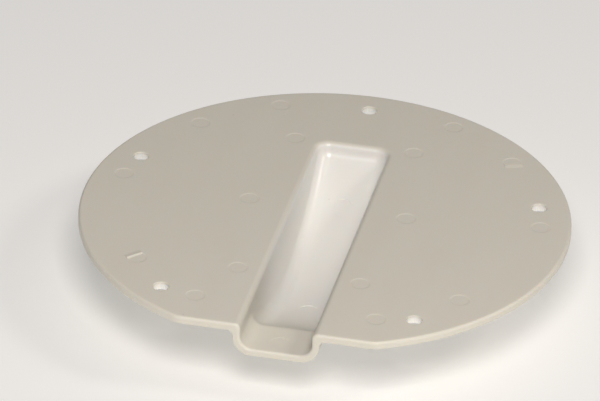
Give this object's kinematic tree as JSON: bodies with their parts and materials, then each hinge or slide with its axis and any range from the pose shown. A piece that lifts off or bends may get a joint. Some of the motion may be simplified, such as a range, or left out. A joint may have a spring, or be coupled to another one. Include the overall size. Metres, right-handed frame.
{
  "type": "blind flange",
  "caption": "Thin round moulded closing plate, screwed on around its rim, with a flat on one side and a sunken trough that runs from behind the middle out through the flat.",
  "frame": {"origin": "centre of the screw circle, on the plate's underside", "axes": "+Z out of the plate's top face, -Y through the middle of the flat, +X to the right seen from the flat"},
  "size_m": [0.12, 0.115, 0.02],
  "materials": {
    "moulding": "satin injection-moulded thermoplastic, cream white"
  },
  "bodies": {
    "root": {"flange_plate": "moulding"}
  },
  "joints": []
}
